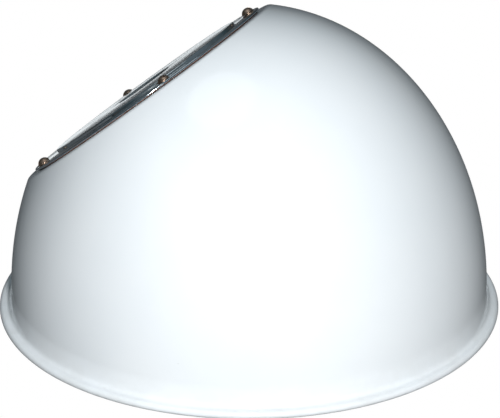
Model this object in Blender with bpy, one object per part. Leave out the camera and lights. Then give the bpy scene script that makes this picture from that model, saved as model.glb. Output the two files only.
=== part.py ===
"""Heat lamp fixture: a spun and enamelled steel hood on a round mouth, cut by a
sloping flat that carries a round plated cover pan on four screws. The pan holds
the cord inlet and a bracket with a porcelain lampholder, a screw-in reflector
bulb points out through the mouth, and a wire guard hinges inside the mouth.

Frame: metres, +Z up, origin at the centre of the mouth on the plane the rim
rests on. The sloping flat faces -X and up, and XZ is the plane of symmetry.
"""

import math

import bmesh
import bpy
from mathutils import Matrix, Vector

for leftover in list(bpy.data.objects):
    bpy.data.objects.remove(leftover, do_unlink=True)

MM = 0.001

# ---- driving dimensions, in millimetres -------------------------------------
RIM_R = 200.0  # outside of the rolled rim: a 16 inch reflector
BEAD_R = 3.3  # the roll itself
WALL = 1.8  # steel sheet with enamel on both faces
NECK_R = 192.0  # outside of the wall just above the roll
NECK_Z = 11.0
DOME_R = 190.5  # the dome's radius where the straight wall ends
DOME_Z = 23.0  # height of that ring
DOME_H = 230.0  # height of the whole dome above that ring
CUT_TILT = math.radians(41.4)  # slope of the flat
CUT_OFFSET = 189.6  # distance of the flat from the origin, along its normal
SEGMENTS = 64  # facets round the hood

OPENING_R = 84.0  # hole in the flat, under the pan
FLANGE_R = 110.0  # cover pan's flange
PAN_R = 87.0  # cover pan's raised centre
SHEET = 1.2  # the pan's and the strap's sheet
GASKET_T = 0.8
GAP = 0.3
RAISE = 3.0  # pan's top above its flange
RECESS_R = 22.0  # sunk seat round the cord inlet
RECESS_D = 2.0
SCREW_RING = 102.0  # radius of the screws' circle
SCREW_ANGLES = (45.0, 135.0, 225.0, 315.0)
SCREW_R = 2.4
HOLE_R = 2.8

BORE_R = 14.8  # lampholder's bore
BULB_R = 47.5
CAP_R = 13.1
THREAD_PITCH = 3.629  # E27 thread
BULB_TURNS = 6.0

GUARD_R = 176.0
GUARD_Z = 9.0
RING_WIRE_R = 2.5
BAR_R = 1.5
HINGE_X = 182.5
LATCH_X = -183.2

# ---- the sloping flat's own frame: d up the slope, h across, n outwards -----
D_AXIS = Vector((math.cos(CUT_TILT), 0.0, math.sin(CUT_TILT)))
H_AXIS = Vector((0.0, 1.0, 0.0))
N_AXIS = Vector((-math.sin(CUT_TILT), 0.0, math.cos(CUT_TILT)))


def dome_radius(z):
    """Outside radius of the hood at height z above the straight wall's end."""
    return DOME_R * math.sqrt(max(0.0, 1.0 - ((z - DOME_Z) / DOME_H) ** 2))


def slope_centre():
    """Middle of the flat, along the slope: halfway between the two places where
    the flat's line meets the dome's outline."""
    ends = []
    steps = 4000
    for side in (-1.0, 1.0):
        last = None
        for i in range(steps + 1):
            angle = 0.5 * math.pi * i / steps
            x = side * DOME_R * math.cos(angle)
            z = DOME_Z + DOME_H * math.sin(angle)
            off = N_AXIS.x * x + N_AXIS.z * z - CUT_OFFSET
            if last is not None and (off > 0) != (last > 0):
                ends.append(D_AXIS.x * x + D_AXIS.z * z)
            last = off
    return 0.5 * (min(ends) + max(ends))


CENTRE = N_AXIS * CUT_OFFSET + D_AXIS * slope_centre()
SLOPE = Matrix(
    (
        (D_AXIS.x, H_AXIS.x, N_AXIS.x, CENTRE.x * MM),
        (D_AXIS.y, H_AXIS.y, N_AXIS.y, CENTRE.y * MM),
        (D_AXIS.z, H_AXIS.z, N_AXIS.z, CENTRE.z * MM),
        (0.0, 0.0, 0.0, 1.0),
    )
)


# ---- materials ---------------------------------------------------------------
def material(name, colour, roughness, metallic=0.0, transmission=0.0):
    made = bpy.data.materials.new(name)
    made.use_nodes = True
    shader = made.node_tree.nodes["Principled BSDF"]
    shader.inputs["Base Color"].default_value = (*colour, 1.0)
    shader.inputs["Roughness"].default_value = roughness
    shader.inputs["Metallic"].default_value = metallic
    shader.inputs["Transmission Weight"].default_value = transmission
    made.diffuse_color = (*colour, 1.0)
    return made


# ---- modelling helpers -------------------------------------------------------
def axis_empty(name, matrix):
    empty = bpy.data.objects.new(name, None)
    bpy.context.collection.objects.link(empty)
    empty.empty_display_size = 0.02
    empty.matrix_world = matrix
    return empty


def finish(name, bm, parent, look, location=(0.0, 0.0, 0.0), smooth=True):
    """Closes the bmesh into an object placed by location (mm) under parent."""
    bmesh.ops.recalc_face_normals(bm, faces=bm.faces)
    mesh = bpy.data.meshes.new(name)
    bm.to_mesh(mesh)
    bm.free()
    if smooth:
        mesh.shade_smooth()
        mesh.set_sharp_from_angle(angle=math.radians(32.0))
    obj = bpy.data.objects.new(name, mesh)
    bpy.context.collection.objects.link(obj)
    obj.parent = parent
    obj.location = Vector(location) * MM
    if look:
        mesh.materials.append(look)
    return obj


def turned_mesh(profile, steps):
    """Spins a profile of (radius, height) points in mm about Z. A profile that
    doesn't start and end on the axis is closed into a ring."""
    bm = bmesh.new()
    points = [bm.verts.new((r * MM, 0.0, z * MM)) for r, z in profile]
    edges = [bm.edges.new(pair) for pair in zip(points, points[1:])]
    if profile[0][0] > 0.0 or profile[-1][0] > 0.0:
        edges.append(bm.edges.new((points[-1], points[0])))
    bmesh.ops.spin(
        bm,
        geom=points + edges,
        cent=(0.0, 0.0, 0.0),
        axis=(0.0, 0.0, 1.0),
        angle=2.0 * math.pi,
        steps=steps,
        use_merge=True,
    )
    bmesh.ops.remove_doubles(bm, verts=bm.verts, dist=1e-7)
    return bm


def turned(name, profile, look, parent, steps=24, location=(0.0, 0.0, 0.0)):
    return finish(name, turned_mesh(profile, steps), parent, look, location)


def block_mesh(low, high):
    bm = bmesh.new()
    bmesh.ops.create_cube(bm, size=1.0)
    for vert in bm.verts:
        for k in range(3):
            vert.co[k] = (low[k] + (high[k] - low[k]) * (vert.co[k] + 0.5)) * MM
    return bm


def rod_mesh(start, end, radius, sides=12, turn=0.0):
    """A straight round rod, or a hexagonal one with sides=6, between points."""
    start, end = Vector(start), Vector(end)
    bm = bmesh.new()
    bmesh.ops.create_cone(
        bm,
        cap_ends=True,
        segments=sides,
        radius1=radius * MM,
        radius2=radius * MM,
        depth=(end - start).length * MM,
    )
    spin = Matrix.Rotation(turn, 4, "Z")
    aim = (end - start).to_track_quat("Z", "Y").to_matrix().to_4x4()
    place = Matrix.Translation((start + end) * 0.5 * MM)
    bmesh.ops.transform(bm, matrix=place @ aim @ spin, verts=bm.verts)
    return bm


def extruded_mesh(outline, low, high, along=0):
    """A closed outline in the plane across the axis `along`, extruded from low
    to high: for along=0 the outline's points are (y, z)."""
    bm = bmesh.new()
    order = {0: (1, 2), 1: (0, 2), 2: (0, 1)}[along]
    verts = []
    for a, b in outline:
        co = [0.0, 0.0, 0.0]
        co[along] = low * MM
        co[order[0]], co[order[1]] = a * MM, b * MM
        verts.append(bm.verts.new(co))
    face = bm.faces.new(verts)
    swept = bmesh.ops.extrude_face_region(bm, geom=[face])
    shift = [0.0, 0.0, 0.0]
    shift[along] = (high - low) * MM
    moved = [g for g in swept["geom"] if isinstance(g, bmesh.types.BMVert)]
    bmesh.ops.translate(bm, vec=shift, verts=moved)
    return bm


def boolean(target, operation, tool):
    """Adds a Boolean of a helper object, which stays out of any render."""
    tool.hide_render = True
    tool.display_type = "WIRE"
    modifier = target.modifiers.new(operation.title(), "BOOLEAN")
    modifier.operation = operation
    modifier.solver = "EXACT"
    modifier.object = tool
    return modifier


def cut(target, tool):
    return boolean(target, "DIFFERENCE", tool)


def join(target, tool):
    return boolean(target, "UNION", tool)


def helper(name, bm, parent, location=(0.0, 0.0, 0.0)):
    return finish(name, bm, parent, None, location, smooth=False)


def arc(centre, radius, start, end, count):
    """Points of an arc in a profile, angles in degrees from the +radius axis."""
    out = []
    for i in range(count + 1):
        angle = math.radians(start + (end - start) * i / count)
        out.append(
            (
                centre[0] + radius * math.cos(angle),
                centre[1] + radius * math.sin(angle),
            )
        )
    return out


def bezier(p0, p1, p2, p3, count):
    out = []
    for i in range(count + 1):
        u = i / count
        v = 1.0 - u
        weights = (v * v * v, 3 * v * v * u, 3 * v * u * u, u * u * u)
        out.append(
            tuple(
                sum(w * p[k] for w, p in zip(weights, (p0, p1, p2, p3)))
                for k in range(2)
            )
        )
    return out


enamel = material("white_enamel", (0.86, 0.90, 0.91), 0.12)
plated = material("bright_plating", (0.62, 0.66, 0.70), 0.14, 1.0)
brown_fibre = material("brown_fibre", (0.20, 0.10, 0.06), 0.85)
brass = material("aged_brass", (0.55, 0.33, 0.17), 0.32, 1.0)
zinc = material("zinc_steel", (0.55, 0.56, 0.58), 0.34, 1.0)
porcelain = material("porcelain", (0.86, 0.84, 0.78), 0.2)
shell_brass = material("shell_brass", (0.78, 0.62, 0.33), 0.3, 1.0)
cap_metal = material("cap_metal", (0.75, 0.76, 0.78), 0.3, 1.0)
black_glass = material("black_glass", (0.02, 0.02, 0.022), 0.15)
ruby = material("ruby_glass", (0.45, 0.03, 0.02), 0.08, 0.0, 0.6)
clear = material("clear_glass", (0.85, 0.88, 0.88), 0.05, 0.0, 0.9)
tungsten = material("tungsten", (0.16, 0.16, 0.17), 0.45, 1.0)
guard_plate = material("guard_plating", (0.66, 0.67, 0.69), 0.25, 1.0)

mouth = axis_empty("mouth_axis", Matrix.Identity(4))
slope = axis_empty("slope_axis", SLOPE)
bpy.context.view_layer.update()

# ---- hood --------------------------------------------------------------------
DOME_STEPS = 12


def dome_line(inset):
    """The dome's line from its top to the straight wall, set in by inset."""
    points = []
    for i in range(DOME_STEPS + 1):
        angle = 0.5 * math.pi * (1.0 - i / DOME_STEPS)
        points.append(
            (
                (DOME_R - inset) * math.cos(angle) if i else 0.0,
                DOME_Z + (DOME_H - inset) * math.sin(angle),
            )
        )
    return points


bead = (RIM_R - BEAD_R, BEAD_R)
outside = (
    dome_line(0.0)
    + [(NECK_R - 0.7, 16.5), (NECK_R, NECK_Z)]
    + [(NECK_R + 0.55, 8.7), (NECK_R + 1.9, 7.0)]
    + [(bead[0] - 0.9, BEAD_R * 2 - 0.15)]
    + arc(bead, BEAD_R, 78.0, -62.0, 5)
    + [(bead[0] + 1.5, 0.0), (bead[0] - 1.7, 0.0), (0.0, 0.0)]
)
hood = turned("hood_shell", outside, enamel, mouth, SEGMENTS)

inside = dome_line(WALL) + [
    (NECK_R - 0.7 - WALL, 16.5),
    (NECK_R - WALL, NECK_Z),
    (NECK_R - WALL + 0.5, 7.6),
    (NECK_R + 0.9, 4.6),
    (NECK_R + 2.0, 2.4),
    (NECK_R + 4.6, -1.6),
    (NECK_R + 4.6, -8.0),
    (0.0, -8.0),
]
hollow = helper("hood_hollow", turned_mesh(inside, 48), mouth)
cut(hollow, helper("cut_inner", block_mesh((-260, -260, -WALL), (260, 260, 200)), slope))
cut(hood, helper("cut_outer", block_mesh((-280, -280, 0), (280, 280, 240)), slope))
cut(hood, hollow)
cut(hood, helper("opening", turned_mesh([(0, 20), (OPENING_R, 20), (OPENING_R, -20), (0, -20)], 48), slope))

SCREW_PLACES = [
    (
        SCREW_RING * math.cos(math.radians(a)),
        SCREW_RING * math.sin(math.radians(a)),
    )
    for a in SCREW_ANGLES
]


def screw_holes(target, label):
    for i, (x, y) in enumerate(SCREW_PLACES, 1):
        cut(target, helper(f"{label}_hole_{i}", rod_mesh((x, y, -14), (x, y, 14), HOLE_R, 10), slope))


screw_holes(hood, "hood")

# ---- fibre gasket and plated cover pan ----------------------------------------
gasket_low, gasket_high = GAP, GAP + GASKET_T
gasket = turned(
    "fibre_gasket",
    [
        (FLANGE_R - 2.4, gasket_high),
        (FLANGE_R - 2.4, gasket_low),
        (OPENING_R + 2.0, gasket_low),
        (OPENING_R + 2.0, gasket_high),
    ],
    brown_fibre,
    slope,
    40,
)
screw_holes(gasket, "gasket")

flange_low = gasket_high + GAP
flange_high = flange_low + SHEET
pan_top = flange_high + RAISE
recess_top = pan_top - RECESS_D
# The flange's edge is turned down over the gasket.
pan_profile = (
    [(FLANGE_R - 1.9, 0.5), (FLANGE_R - 0.5, 0.5), (FLANGE_R, 1.0)]
    + [(FLANGE_R, flange_high - 0.5), (FLANGE_R - 0.5, flange_high)]
    + [(PAN_R + 0.9, flange_high), (PAN_R, flange_high + 0.8)]
    + arc((PAN_R - 1.9, pan_top - 1.9), 1.9, 0.0, 90.0, 3)
    + [(RECESS_R + 2.4, pan_top), (RECESS_R + 0.4, recess_top), (6.4, recess_top)]
    + [(6.4, recess_top - SHEET), (RECESS_R + 1.6, recess_top - SHEET)]
    + [(RECESS_R + 3.6, pan_top - SHEET), (PAN_R - SHEET - 0.9, pan_top - SHEET)]
    + [(PAN_R - SHEET, pan_top - SHEET - 0.9), (PAN_R - SHEET, flange_low)]
    + [(FLANGE_R - 1.9, flange_low)]
)
pan = turned("cover_pan", pan_profile, plated, slope, 48)
screw_holes(pan, "pan")

# ---- the pan's four screws, with washers and nuts inside the hood --------------
washer_top = -WALL - GAP
nut_top = washer_top - 1.0 - GAP


def round_head_screw(name, place, under_head, head_r, head_h, shank_r, end, look, steps=14):
    """Turned screw with a domed slotted head, on the slope's normal."""
    swell = (head_r**2 + head_h**2) / (2 * head_h)
    lift = under_head + head_h - swell
    start = math.degrees(math.acos(head_r / swell)) if head_r < swell else 0.0
    dome = arc((0.0, lift), swell, 90.0, start, 4)
    dome[0] = (0.0, under_head + head_h)
    profile = dome + [(shank_r, under_head), (shank_r, end + 0.6), (shank_r - 0.6, end), (0.0, end)]
    screw = turned(name, profile, look, slope, steps, (place[0], place[1], 0.0))
    slot = block_mesh((-head_r * 1.2, -0.55, under_head + head_h * 0.55), (head_r * 1.2, 0.55, under_head + head_h * 1.6))
    cut(screw, helper(name + "_slot", slot, slope, (place[0], place[1], 0.0)))
    return screw


def hex_nut(name, place, top, thick, across, hole_r, look, parent=None, turn=0.0):
    nut = finish(
        name,
        rod_mesh((0, 0, top - thick), (0, 0, top), across / math.sqrt(3.0), 6, turn),
        parent or slope,
        look,
        (place[0], place[1], 0.0),
        smooth=False,
    )
    cut(nut, helper(name + "_bore", rod_mesh((0, 0, top - thick - 3), (0, 0, top + 3), hole_r, 16), parent or slope, (place[0], place[1], 0.0)))
    return nut


for i, place in enumerate(SCREW_PLACES, 1):
    round_head_screw(f"pan_screw_{i}", place, flange_high + GAP, 5.2, 4.3, SCREW_R, -11.0, brass)
    turned(
        f"pan_washer_{i}",
        [(5.0, washer_top), (5.0, washer_top - 1.0), (HOLE_R, washer_top - 1.0), (HOLE_R, washer_top)],
        zinc,
        slope,
        20,
        (*place, 0.0),
    )
    hex_nut(f"pan_nut_{i}", place, nut_top, 4.0, 8.0, HOLE_R, zinc)

# ---- cord inlet: a hollow threaded bush in the pan's sunk seat, and its locknut --
head_low = recess_top + GAP
bush = finish("inlet_bush", rod_mesh((0, 0, head_low), (0, 0, head_low + 1.5), 20.0 / math.sqrt(3.0), 6), slope, zinc, smooth=False)
join(bush, helper("bush_tube", rod_mesh((0, 0, -5.0), (0, 0, head_low + 1.0), 6.0, 24), slope))
cut(bush, helper("bush_bore", rod_mesh((0, 0, -12.0), (0, 0, 16.0), 4.1, 20), slope))

web_high = recess_top - SHEET - GAP
web_low = web_high - SHEET
hex_nut("inlet_locknut", (0.0, 0.0), web_low - GAP, 3.8, 18.0, 6.35, zinc, turn=0.3)

# ---- lampholder bracket: a bent strap hung from the bush ------------------------
FOOT_TOP, FOOT_LOW = -8.5, -10.0
half = 32.0
strap = [
    (-half, web_high),
    (half, web_high),
    (half, FOOT_LOW),
    (17.0, FOOT_LOW),
    (17.0, FOOT_TOP),
    (half - SHEET, FOOT_TOP),
    (half - SHEET, web_low),
    (-half + SHEET, web_low),
    (-half + SHEET, FOOT_TOP),
    (-17.0, FOOT_TOP),
    (-17.0, FOOT_LOW),
    (-half, FOOT_LOW),
]
bracket = finish("lampholder_bracket", extruded_mesh(strap, -10.0, 10.0, 0), slope, zinc, smooth=False)
cut(bracket, helper("bracket_bush_hole", rod_mesh((0, 0, -3), (0, 0, 8), 6.4, 24), slope))
FIX = 23.0
for side, y in (("a", FIX), ("b", -FIX)):
    cut(bracket, helper(f"bracket_fix_hole_{side}", rod_mesh((0, y, -13), (0, y, -6), 2.3, 16), slope))
EARTH_T = -3.4
cut(bracket, helper("bracket_earth_hole", rod_mesh((0, half - 5, EARTH_T), (0, half + 3, EARTH_T), 2.3, 16), slope))

# ---- porcelain lampholder ---------------------------------------------------------
TOP = FOOT_LOW - GAP
SHOULDER = -35.0
MOUTH_T = -57.5
FLOOR_T = -24.5
body_profile = [
    (0.0, TOP),
    (27.2, TOP),
    (28.0, TOP - 0.8),
    (28.0, SHOULDER + 1.2),
    (26.8, SHOULDER),
    (18.3, SHOULDER),
    (18.3, MOUTH_T + 1.2),
    (17.1, MOUTH_T),
    (15.4, MOUTH_T),
    (BORE_R, MOUTH_T + 0.8),
    (BORE_R, FLOOR_T),
    (0.0, FLOOR_T),
]
holder = turned("lampholder_body", body_profile, porcelain, slope, 32)
for side, y in (("a", FIX), ("b", -FIX)):
    cut(holder, helper(f"holder_fix_hole_{side}", rod_mesh((0, y, -45), (0, y, -5), 2.3, 16), slope))
TERM = 16.0
for side, x in (("a", TERM), ("b", -TERM)):
    cut(holder, helper(f"holder_term_hole_{side}", rod_mesh((x, 0, -19), (x, 0, -5), 1.9, 14), slope))

for i, y in enumerate((FIX, -FIX), 1):
    round_head_screw(f"lampholder_screw_{i}", (0.0, y), FOOT_TOP + GAP, 3.8, 2.4, 2.0, -41.0, zinc, 14)
    hex_nut(f"lampholder_nut_{i}", (0.0, y), SHOULDER - GAP, 3.0, 7.0, 2.3, zinc, turn=math.pi / 6)

PLATE_LOW = TOP + GAP
for label, x in (("live", TERM), ("neutral", -TERM)):
    plate = finish(
        f"terminal_plate_{label}",
        block_mesh((x - 4.2, -5.0, PLATE_LOW), (x + 4.2, 5.0, PLATE_LOW + 1.0)),
        slope,
        shell_brass,
        smooth=False,
    )
    cut(plate, helper(f"terminal_hole_{label}", rod_mesh((x, 0, -16), (x, 0, -4), 1.9, 14), slope))
    round_head_screw(f"terminal_screw_{label}", (x, 0.0), PLATE_LOW + 1.0 + GAP, 2.9, 1.8, 1.5, -18.0, shell_brass, 12)

# The earth screw lies across, through the bracket's leg.
earth = axis_empty("earth_axis", SLOPE @ Matrix.Translation((0.0, half * MM, EARTH_T * MM)) @ Matrix.Rotation(-math.pi / 2, 4, "X"))
bpy.context.view_layer.update()
turned(
    "earth_screw",
    [(0.0, 2.7), (1.8, 2.5), (3.2, 1.6), (3.6, 0.3), (2.0, 0.3), (2.0, -8.0), (0.0, -8.0)],
    shell_brass,
    earth,
    16,
)
hex_nut("earth_nut", (0.0, 0.0), -SHEET - GAP, 3.0, 7.0, 2.3, zinc, parent=earth)

turned(
    "lampholder_shell",
    [(10.0, -25.0), (10.0, -25.7), (13.8, -25.7), (13.8, -52.0), (14.4, -52.0), (14.4, -25.0)],
    shell_brass,
    slope,
    24,
)
turned(
    "centre_contact",
    [(0.0, -24.8), (6.0, -24.8), (6.0, -25.6), (2.6, -26.5), (0.0, -26.5)],
    shell_brass,
    slope,
    20,
)

# ---- reflector bulb, on the lampholder's axis ---------------------------------------
turned("bulb_tip", [(0.0, -27.0), (3.4, -27.2), (4.5, -28.0), (4.5, -28.6), (0.0, -28.6)], cap_metal, slope, 20)
turned(
    "bulb_insulator",
    [(0.0, -28.9), (5.0, -28.9), (9.8, -32.0), (9.8, -33.4), (0.0, -33.4)],
    black_glass,
    slope,
    24,
)
cap_out = [(10.4, -32.4), (CAP_R - 0.5, -34.6)]
ribs = 5
for i in range(ribs):
    z = -36.4 - THREAD_PITCH * i
    cap_out += [(CAP_R, z), (CAP_R - 0.7, z - THREAD_PITCH * 0.5)]
cap_out += [(CAP_R - 0.2, -55.0), (CAP_R - 0.2, -56.2)]
cap_in = [(12.2, -56.2), (12.2, -36.0), (10.1, -33.8)]
turned("bulb_cap", cap_out + cap_in, cap_metal, slope, 24)


def glass_line(inset, count):
    """Envelope outline from the neck to the middle of the face."""
    neck = [(11.8 - inset, -41.0), (11.8 - inset, -55.5)]
    swell = bezier((11.8, -56.8), (14.2, -74.0), (34.0, -92.0), (BULB_R - 1.3, -124.0), count)
    shoulder = bezier((BULB_R - 1.3, -124.0), (BULB_R + 1.2, -135.5), (BULB_R - 2.5, -146.5), (33.0, -152.5), max(4, count // 2))
    face = bezier((33.0, -152.5), (22.0, -156.6), (10.0, -158.4), (0.0, -158.6), max(3, count // 3))
    outline = swell + shoulder[1:] + face[1:]
    if inset:
        moved = []
        for k, (r, z) in enumerate(outline):
            a = outline[max(0, k - 1)]
            b = outline[min(len(outline) - 1, k + 1)]
            along = Vector((b[0] - a[0], b[1] - a[1])).normalized()
            moved.append((r + along.y * inset, z - along.x * inset))
        moved[-1] = (0.0, outline[-1][1] + inset)
        outline = moved
    return neck + outline


glass_out = glass_line(0.0, 6)
glass_in = glass_line(1.2, 6)
glass_profile = glass_out + list(reversed(glass_in))
turned("bulb_glass", glass_profile, ruby, slope, 30)
turned(
    "bulb_stem",
    [(0.0, -41.6), (10.2, -41.6), (10.2, -42.6), (5.0, -48.0), (3.6, -56.0), (3.2, -78.0), (0.0, -79.0)],
    clear,
    slope,
    16,
)

wire = bpy.data.curves.new("bulb_filament", "CURVE")
wire.dimensions = "3D"
wire.bevel_depth = 0.7 * MM
wire.bevel_resolution = 1
wire.use_fill_caps = True
path = [(-4.4, 0.0, -76.0), (-6.0, 0.0, -82.0), (-12.0, 0.0, -93.0)]
for k in range(1, 8):
    angle = math.pi * k / 8
    path.append((-12.0 * math.cos(angle), 12.0 * math.sin(angle), -93.0 - 1.5 * math.sin(angle)))
path += [(12.0, 0.0, -93.0), (6.0, 0.0, -82.0), (4.4, 0.0, -76.0)]
spline = wire.splines.new("POLY")
spline.points.add(len(path) - 1)
for point, co in zip(spline.points, path):
    point.co = (co[0] * MM, co[1] * MM, co[2] * MM, 1.0)
wire.materials.append(tungsten)
filament = bpy.data.objects.new("bulb_filament", wire)
bpy.context.collection.objects.link(filament)
filament.parent = slope

# ---- wire guard in the mouth, with its hinge on the +X side --------------------------
hinge = axis_empty("guard_hinge_axis", Matrix.Translation((HINGE_X * MM, 0.0, GUARD_Z * MM)))
bpy.context.view_layer.update()


def from_hinge(x, y, z):
    return (x - HINGE_X, y, z - GUARD_Z)


ring_bm = bmesh.new()
circle = bmesh.ops.create_circle(ring_bm, segments=6, radius=RING_WIRE_R * MM)
bmesh.ops.rotate(ring_bm, verts=circle["verts"], matrix=Matrix.Rotation(math.pi / 6, 3, "Z"))
bmesh.ops.rotate(ring_bm, verts=circle["verts"], matrix=Matrix.Rotation(math.pi / 2, 3, "X"))
bmesh.ops.translate(ring_bm, verts=circle["verts"], vec=(GUARD_R * MM, 0, 0))
bmesh.ops.spin(
    ring_bm,
    geom=ring_bm.verts[:] + ring_bm.edges[:],
    cent=(0, 0, 0),
    axis=(0, 0, 1),
    angle=2 * math.pi,
    steps=48,
    use_merge=True,
)
bmesh.ops.translate(ring_bm, verts=ring_bm.verts[:], vec=Vector(from_hinge(0, 0, GUARD_Z)) * MM)
guard = finish("guard_grille", ring_bm, hinge, guard_plate)
BARS = 9
spacing = 2 * GUARD_R / (BARS + 1)
for k in range(BARS):
    y = (k - (BARS - 1) / 2) * spacing
    reach = math.sqrt(GUARD_R**2 - y**2) - 0.4
    join(guard, helper(f"guard_bar_{k + 1}", rod_mesh(from_hinge(-reach, y, GUARD_Z), from_hinge(reach, y, GUARD_Z), BAR_R, 6, 0.2), hinge))
for k, x in enumerate((-105.0, 0.0, 105.0), 1):
    reach = math.sqrt(GUARD_R**2 - x**2) - 0.4
    z = GUARD_Z - 2.0
    join(guard, helper(f"guard_cross_{k}", rod_mesh(from_hinge(x, -reach, z), from_hinge(x, reach, z), BAR_R, 6, 0.1), hinge))
join(guard, helper("guard_tab", block_mesh(from_hinge(175.0, -7.6, 7.9), from_hinge(HINGE_X - 0.2, 7.6, 10.1)), hinge))
join(guard, helper("guard_knuckle", rod_mesh((0, -8, 0), (0, 8, 0), 3.4, 16), hinge))
cut(guard, helper("knuckle_bore", rod_mesh((0, -12, 0), (0, 12, 0), 1.9, 16), hinge))

PAD_X = 186.8  # inner face of the hinge and latch pads; the wall is just outside


def pad_outline(z_low, z_high):
    """Section of the pad in (x, z): its back follows the wall's lean."""
    return [(PAD_X, z_low), (PAD_X + 1.4, z_low), (PAD_X + 1.4, z_high - 8.0), (PAD_X + 0.7, z_high), (PAD_X, z_high)]


hinge_bracket = finish("guard_hinge_bracket", extruded_mesh(pad_outline(6.2, 23.0), -12.0, 12.0, 1), mouth, enamel, smooth=False)
for side, y in (("a", 8.4), ("b", -10.6)):
    ear = [(HINGE_X - 2.6, GUARD_Z - 2.6), (PAD_X + 0.6, GUARD_Z - 2.6), (PAD_X + 0.6, GUARD_Z + 7.0), (HINGE_X, GUARD_Z + 3.4), (HINGE_X - 2.6, GUARD_Z + 1.6)]
    join(hinge_bracket, helper(f"hinge_ear_{side}", extruded_mesh(ear, y, y + 2.2, 1), mouth))
cut(hinge_bracket, helper("hinge_bracket_bore", rod_mesh((HINGE_X, -14, GUARD_Z), (HINGE_X, 14, GUARD_Z), 1.9, 16), mouth))
pin = finish("guard_hinge_pin", rod_mesh((0, -13.0, 0), (0, 12.6, 0), 1.55, 14), hinge, zinc)
join(pin, helper("hinge_pin_head", rod_mesh((0, -13.0, 0), (0, -10.9, 0), 2.5, 14), hinge))

# ---- turn button that keeps the guard shut, on the -X side -----------------------------
SHELF_LOW, SHELF_HIGH = 14.0, 15.5
latch_pad = [(-x, z) for x, z in reversed(pad_outline(10.0, 23.0))]
latch_bracket = finish("latch_bracket", extruded_mesh(latch_pad, -8.0, 8.0, 1), mouth, enamel, smooth=False)
join(latch_bracket, helper("latch_shelf", block_mesh((-PAD_X - 0.6, -7.4, SHELF_LOW), (LATCH_X + 5.6, 7.4, SHELF_HIGH)), mouth))
cut(latch_bracket, helper("latch_shelf_hole", rod_mesh((LATCH_X, 0, 8), (LATCH_X, 0, 20), 2.2, 16), mouth))

latch = axis_empty("latch_axis", Matrix.Translation((LATCH_X * MM, 0.0, 0.0)))
bpy.context.view_layer.update()
turned(
    "latch_pin",
    [
        (0.0, 17.6),
        (2.2, 17.4),
        (3.3, 16.6),
        (3.3, SHELF_HIGH + GAP),
        (1.85, SHELF_HIGH + GAP),
        (1.85, 2.9),
        (3.2, 2.9),
        (3.2, 1.9),
        (2.6, 1.2),
        (0.0, 1.2),
    ],
    zinc,
    latch,
    16,
)
BUTTON_LOW, BUTTON_HIGH = 3.2, 5.2
outline = [(3.6 * math.cos(a), 3.6 * math.sin(a)) for a in [math.pi + math.pi * k / 6 for k in range(7)]]
outline += [(3.2, 11.0), (2.2, 14.5), (-2.2, 14.5), (-3.2, 11.0)]
button = finish("latch_button", extruded_mesh(outline, BUTTON_LOW, BUTTON_HIGH, 2), latch, zinc, smooth=False)
cut(button, helper("button_bore", rod_mesh((0, 0, 0), (0, 0, 8), 2.2, 16), latch))
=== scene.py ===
"""Heat lamp fixture: looks. Lengths in this file are millimetres unless a name
says otherwise; every mesh is built in the row frame and scaled to metres."""

import math

import bmesh  # noqa: E402
import bpy  # noqa: E402
import numpy as np  # noqa: E402
from mathutils import Matrix, Vector  # noqa: E402


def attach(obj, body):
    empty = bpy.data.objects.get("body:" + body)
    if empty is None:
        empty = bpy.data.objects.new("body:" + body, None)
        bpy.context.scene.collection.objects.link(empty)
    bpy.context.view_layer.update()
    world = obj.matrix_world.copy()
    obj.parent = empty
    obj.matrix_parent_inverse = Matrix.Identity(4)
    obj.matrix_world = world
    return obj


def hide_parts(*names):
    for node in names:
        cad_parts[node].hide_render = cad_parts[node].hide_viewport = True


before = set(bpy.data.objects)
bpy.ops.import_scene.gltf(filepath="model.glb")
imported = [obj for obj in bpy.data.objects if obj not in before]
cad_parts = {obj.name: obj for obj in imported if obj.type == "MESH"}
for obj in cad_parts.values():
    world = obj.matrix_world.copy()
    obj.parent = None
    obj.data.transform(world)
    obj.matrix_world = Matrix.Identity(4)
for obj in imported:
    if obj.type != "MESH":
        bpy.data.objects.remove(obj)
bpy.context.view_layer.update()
MM = 0.001

# ---- the design's own dimensions ------------------------------------------------
RIM_R, BEAD_R, WALL = 200.0, 3.3, 1.8
NECK_R, NECK_Z = 192.0, 11.0
DOME_R, DOME_Z, DOME_H = 190.5, 23.0, 230.0
CUT_TILT, CUT_OFFSET = math.radians(41.4), 189.6
OPENING_R, FLANGE_R, PAN_R = 84.0, 110.0, 87.0
SHEET, GASKET_T, GAP, RAISE, RECESS_R, RECESS_D = 1.2, 0.8, 0.3, 3.0, 22.0, 2.0
SCREW_RING, SCREW_ANGLES = 102.0, (45.0, 135.0, 225.0, 315.0)
BORE_R, BULB_R, CAP_R, PITCH = 14.8, 47.5, 13.1, 3.629
GUARD_R, GUARD_Z, RING_WIRE_R, BAR_R = 176.0, 9.0, 2.5, 1.5
HINGE_X, LATCH_X, PAD_X = 182.5, -183.2, 186.8

D_AXIS = Vector((math.cos(CUT_TILT), 0.0, math.sin(CUT_TILT)))
H_AXIS = Vector((0.0, 1.0, 0.0))
N_AXIS = Vector((-math.sin(CUT_TILT), 0.0, math.cos(CUT_TILT)))


def slope_centre():
    """Middle of the flat: centre of the ellipse in which the plane cuts the dome."""
    k = np.array([N_AXIS.x * DOME_R, N_AXIS.z * DOME_H])
    length = np.linalg.norm(k)
    off = (CUT_OFFSET - N_AXIS.z * DOME_Z) / length
    unit = k / length * off
    return Vector((unit[0] * DOME_R, 0.0, DOME_Z + unit[1] * DOME_H))


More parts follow.
